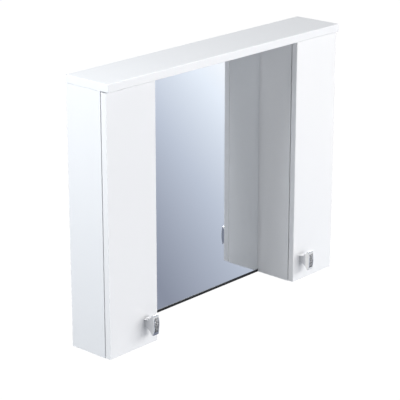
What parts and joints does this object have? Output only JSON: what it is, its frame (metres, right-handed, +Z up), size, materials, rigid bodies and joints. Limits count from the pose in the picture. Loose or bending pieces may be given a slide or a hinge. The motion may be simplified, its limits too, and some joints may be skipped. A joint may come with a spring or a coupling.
{
  "type": "mirror cabinet",
  "caption": "Wall-hung bathroom mirror cabinet: a mirror between narrow white side cabinets with hinged doors and chrome knobs, under one top board",
  "frame": {"origin": "middle of the box round the whole cabinet, at the height of its underside", "axes": "+X along the width to the viewer's right, +Y to the wall, +Z up; the doors face -Y"},
  "size_m": [0.9, 0.172, 0.72],
  "materials": {
    "white_laminate": "white melamine on chipboard, satin",
    "white_lacquer": "white high-gloss lacquer on fibreboard",
    "mirror": "silvered float glass",
    "black_trim": "black extruded plastic",
    "chrome": "polished chrome plate on zinc",
    "knob_inlay": "faceted dark silver",
    "hinge_steel": "nickel-plated pressed steel",
    "zinc": "zinc-plated steel",
    "shelf_glass": "clear float glass with ground edges",
    "hardboard": "thin hardboard, white on the room side",
    "beech": "fluted beech dowel",
    "silicone": "clear soft dot"
  },
  "bodies": {
    "carcass": {"top_board": "white_laminate", "back_panel": "hardboard", "mirror_glass": "mirror", "mirror_trim": "black_trim", "cam_housings": "zinc", "cam_bolts": "zinc", "dowels": "beech", "hanger_screws": "zinc", "back_panel_screws": "zinc", "left_outer_side": "white_laminate", "right_outer_side": "white_laminate", "left_inner_side": "white_laminate", "right_inner_side": "white_laminate", "left_bottom_panel": "white_laminate", "right_bottom_panel": "white_laminate", "left_shelf_lower": "shelf_glass", "right_shelf_lower": "shelf_glass", "left_shelf_upper": "shelf_glass", "right_shelf_upper": "shelf_glass", "left_shelf_pins": "zinc", "right_shelf_pins": "zinc", "left_hinge_arm_pins": "zinc", "right_hinge_arm_pins": "zinc", "left_hinge_plate_screws": "zinc", "right_hinge_plate_screws": "zinc", "left_hinge_arm_screws": "zinc", "right_hinge_arm_screws": "zinc", "left_door_bumpers": "silicone", "right_door_bumpers": "silicone", "left_hanger_plate": "zinc", "right_hanger_plate": "zinc", "left_lower_hinge_arm": "hinge_steel", "right_lower_hinge_arm": "hinge_steel", "left_lower_hinge_plate": "hinge_steel", "right_lower_hinge_plate": "hinge_steel", "left_upper_hinge_arm": "hinge_steel", "right_upper_hinge_arm": "hinge_steel", "left_upper_hinge_plate": "hinge_steel", "right_upper_hinge_plate": "hinge_steel"},
    "left_outer_links": {"left_hinge_outer_links": "hinge_steel"},
    "left_door_leaf": {"left_door": "white_lacquer", "left_knob": "chrome", "left_knob_inlay": "knob_inlay", "left_knob_screw": "zinc", "left_lower_hinge_cup": "hinge_steel", "left_upper_hinge_cup": "hinge_steel", "left_hinge_cup_pins": "zinc", "left_hinge_cup_screws": "zinc"},
    "left_inner_links": {"left_hinge_inner_links": "hinge_steel"},
    "right_outer_links": {"right_hinge_outer_links": "hinge_steel"},
    "right_door_leaf": {"right_door": "white_lacquer", "right_knob": "chrome", "right_knob_inlay": "knob_inlay", "right_knob_screw": "zinc", "right_lower_hinge_cup": "hinge_steel", "right_upper_hinge_cup": "hinge_steel", "right_hinge_cup_pins": "zinc", "right_hinge_cup_screws": "zinc"},
    "right_inner_links": {"right_hinge_inner_links": "hinge_steel"}
  },
  "joints": [
    {"name": "left_outer_link_swing", "type": "hinge", "parent": "carcass", "child": "left_outer_links", "pos_m": [-0.4202, -0.03805, 0.3485], "axis": [0, 0, 1], "range_deg": [0, 18.45]},
    {"name": "left_door_swing", "type": "hinge", "parent": "left_outer_links", "child": "left_door_leaf", "pos_m": [-0.4409, -0.03895, 0.3485], "axis": [0, 0, -1], "range_deg": [0, 113.43]},
    {"name": "left_inner_link_swing", "type": "hinge", "parent": "carcass", "child": "left_inner_links", "pos_m": [-0.4158, -0.03805, 0.3485], "axis": [0, 0, 1], "range_deg": [0, 33.55]},
    {"name": "right_outer_link_swing", "type": "hinge", "parent": "carcass", "child": "right_outer_links", "pos_m": [0.4202, -0.03805, 0.3485], "axis": [0, 0, -1], "range_deg": [0, 18.45]},
    {"name": "right_door_swing", "type": "hinge", "parent": "right_outer_links", "child": "right_door_leaf", "pos_m": [0.4409, -0.03895, 0.3485], "axis": [0, 0, 1], "range_deg": [0, 113.43]},
    {"name": "right_inner_link_swing", "type": "hinge", "parent": "carcass", "child": "right_inner_links", "pos_m": [0.4158, -0.03805, 0.3485], "axis": [0, 0, -1], "range_deg": [0, 33.55]}
  ],
  "couplings": [
    {"joint": "left_outer_link_swing", "follows": "left_door_swing", "ratio": 0.16248},
    {"joint": "left_inner_link_swing", "follows": "left_door_swing", "ratio": 0.29564},
    {"joint": "right_outer_link_swing", "follows": "right_door_swing", "ratio": 0.16248},
    {"joint": "right_inner_link_swing", "follows": "right_door_swing", "ratio": 0.29564}
  ]
}
